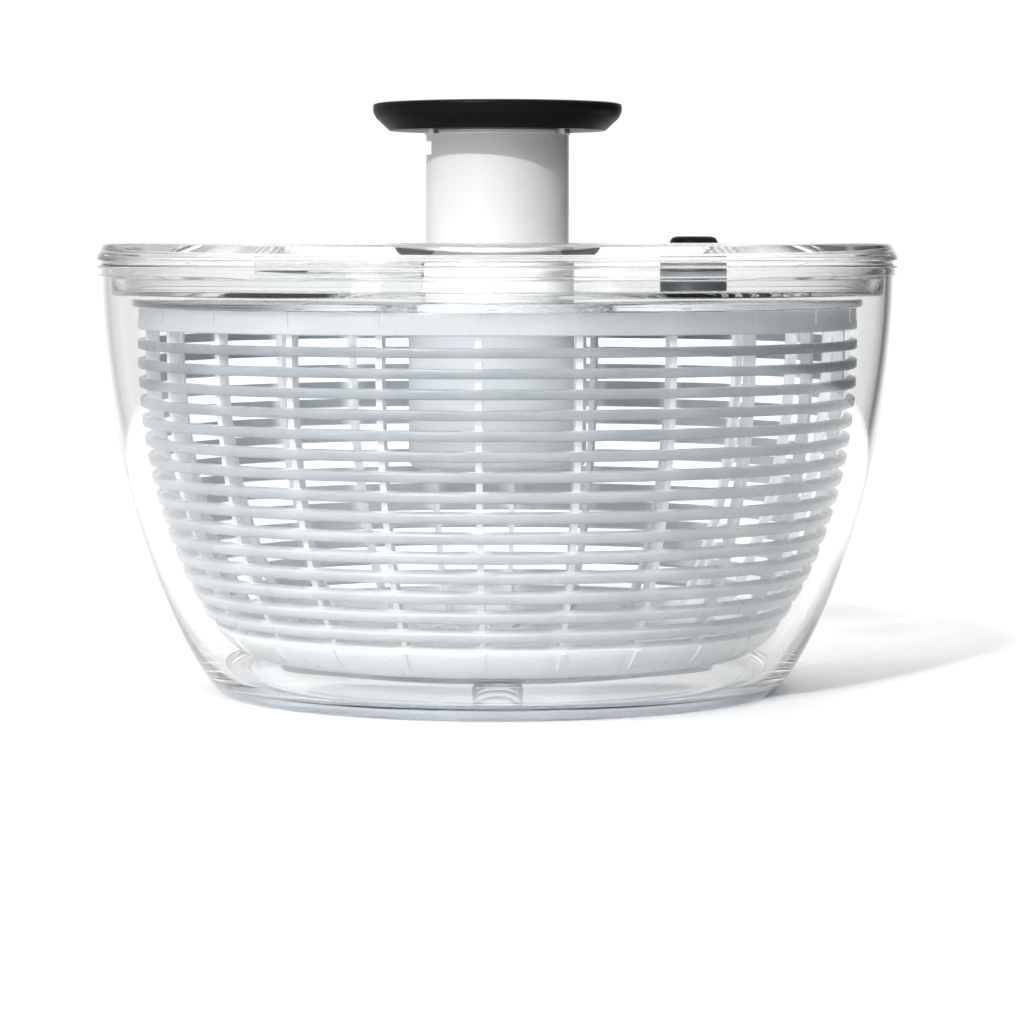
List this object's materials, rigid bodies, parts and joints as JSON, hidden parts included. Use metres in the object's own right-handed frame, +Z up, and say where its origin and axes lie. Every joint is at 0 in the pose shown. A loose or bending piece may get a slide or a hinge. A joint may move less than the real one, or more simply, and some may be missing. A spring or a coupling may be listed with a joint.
{
  "type": "salad spinner",
  "caption": "Hand salad spinner: clear bowl and lid, lattice basket on a centre pivot, spring-return pump knob with twisted-bar drive, push brake and pump lock",
  "frame": {"origin": "centre of the base on the table", "axes": "+Z up along the pump's axis, front towards -Y, brake button on the +X side and pump lock on the -X side"},
  "size_m": [0.2644, 0.2644, 0.194],
  "materials": {
    "clear_plastic": "clear polished moulded plastic",
    "basket_plastic": "milky bluish translucent moulded plastic",
    "frosted_plastic": "frosted translucent moulded plastic",
    "soft_ring": "soft translucent bluish elastomer",
    "white_gloss": "white satin-gloss moulded plastic",
    "white_plastic": "white moulded plastic",
    "grey_plastic": "grey moulded plastic",
    "black_plastic": "near-black satin moulded plastic",
    "brake_rubber": "matte dark rubber",
    "steel": "plain stainless steel"
  },
  "bodies": {
    "bowl": {"outer_bowl": "clear_plastic", "non_slip_ring": "soft_ring"},
    "pivot": {"pivot_bush": "white_plastic"},
    "basket": {"basket": "basket_plastic", "bush_clip": "steel"},
    "lid": {"lid_cover": "clear_plastic", "lid_base": "clear_plastic", "pump_guide": "white_plastic", "pump_collar": "white_plastic", "disc_retainer": "white_plastic", "thrust_washer": "steel", "pump_spring": "steel", "brake_guide": "grey_plastic", "brake_spring": "steel", "lock_frame": "grey_plastic"},
    "disc": {"drive_disc": "clear_plastic", "hub_cup": "frosted_plastic", "cup_screws": "steel", "disc_bearing": "white_plastic", "ratchet_ring": "steel"},
    "plunger": {"pump_tube": "white_gloss", "knob_base": "black_plastic", "knob_cap": "black_plastic", "knob_screws": "steel", "drive_stem": "white_plastic", "drive_nut": "white_plastic", "stem_screws": "steel"},
    "spindle": {"drive_spindle": "steel", "pawl_carrier": "white_plastic", "spindle_washer": "steel", "spindle_screw": "steel"},
    "brake": {"brake_button": "black_plastic", "brake_plunger": "grey_plastic", "brake_pad": "brake_rubber"},
    "lock": {"lock_slider": "grey_plastic", "lock_thumb_pad": "black_plastic"}
  },
  "joints": [
    {"name": "basket_lift", "type": "slide", "parent": "bowl", "child": "pivot", "axis": [0, 0, 1], "range_m": [0, 0.14]},
    {"name": "basket_spin", "type": "hinge", "parent": "pivot", "child": "basket", "pos_m": [0, 0, 0], "axis": [0, 0, 1], "continuous": true},
    {"name": "lid_lift", "type": "slide", "parent": "pivot", "child": "lid", "axis": [0, 0, 1], "range_m": [0, 0.1]},
    {"name": "disc_spin", "type": "hinge", "parent": "lid", "child": "disc", "pos_m": [0, 0, 0], "axis": [0, 0, 1], "continuous": true},
    {"name": "pump_slide", "type": "slide", "parent": "lid", "child": "plunger", "axis": [0, 0, -1], "range_m": [0, 0.038], "stiffness_N_per_m": 150, "springref_m": -0.02, "deforming": ["pump_spring"]},
    {"name": "spindle_spin", "type": "hinge", "parent": "lid", "child": "spindle", "pos_m": [0, 0, 0], "axis": [0, 0, 1], "range_deg": [-1, 460]},
    {"name": "brake_press", "type": "slide", "parent": "lid", "child": "brake", "axis": [0, 0, -1], "range_m": [0, 0.003], "stiffness_N_per_m": 600, "springref_m": -0.003, "deforming": ["brake_spring"]},
    {"name": "lock_slide", "type": "slide", "parent": "lid", "child": "lock", "axis": [1, 0, 0], "range_m": [0, 0.0037]}
  ],
  "couplings": [
    {"joint": "disc_spin", "follows": "basket_spin", "ratio": 1},
    {"joint": "spindle_spin", "follows": "pump_slide", "rad_per_m": 209.44}
  ]
}
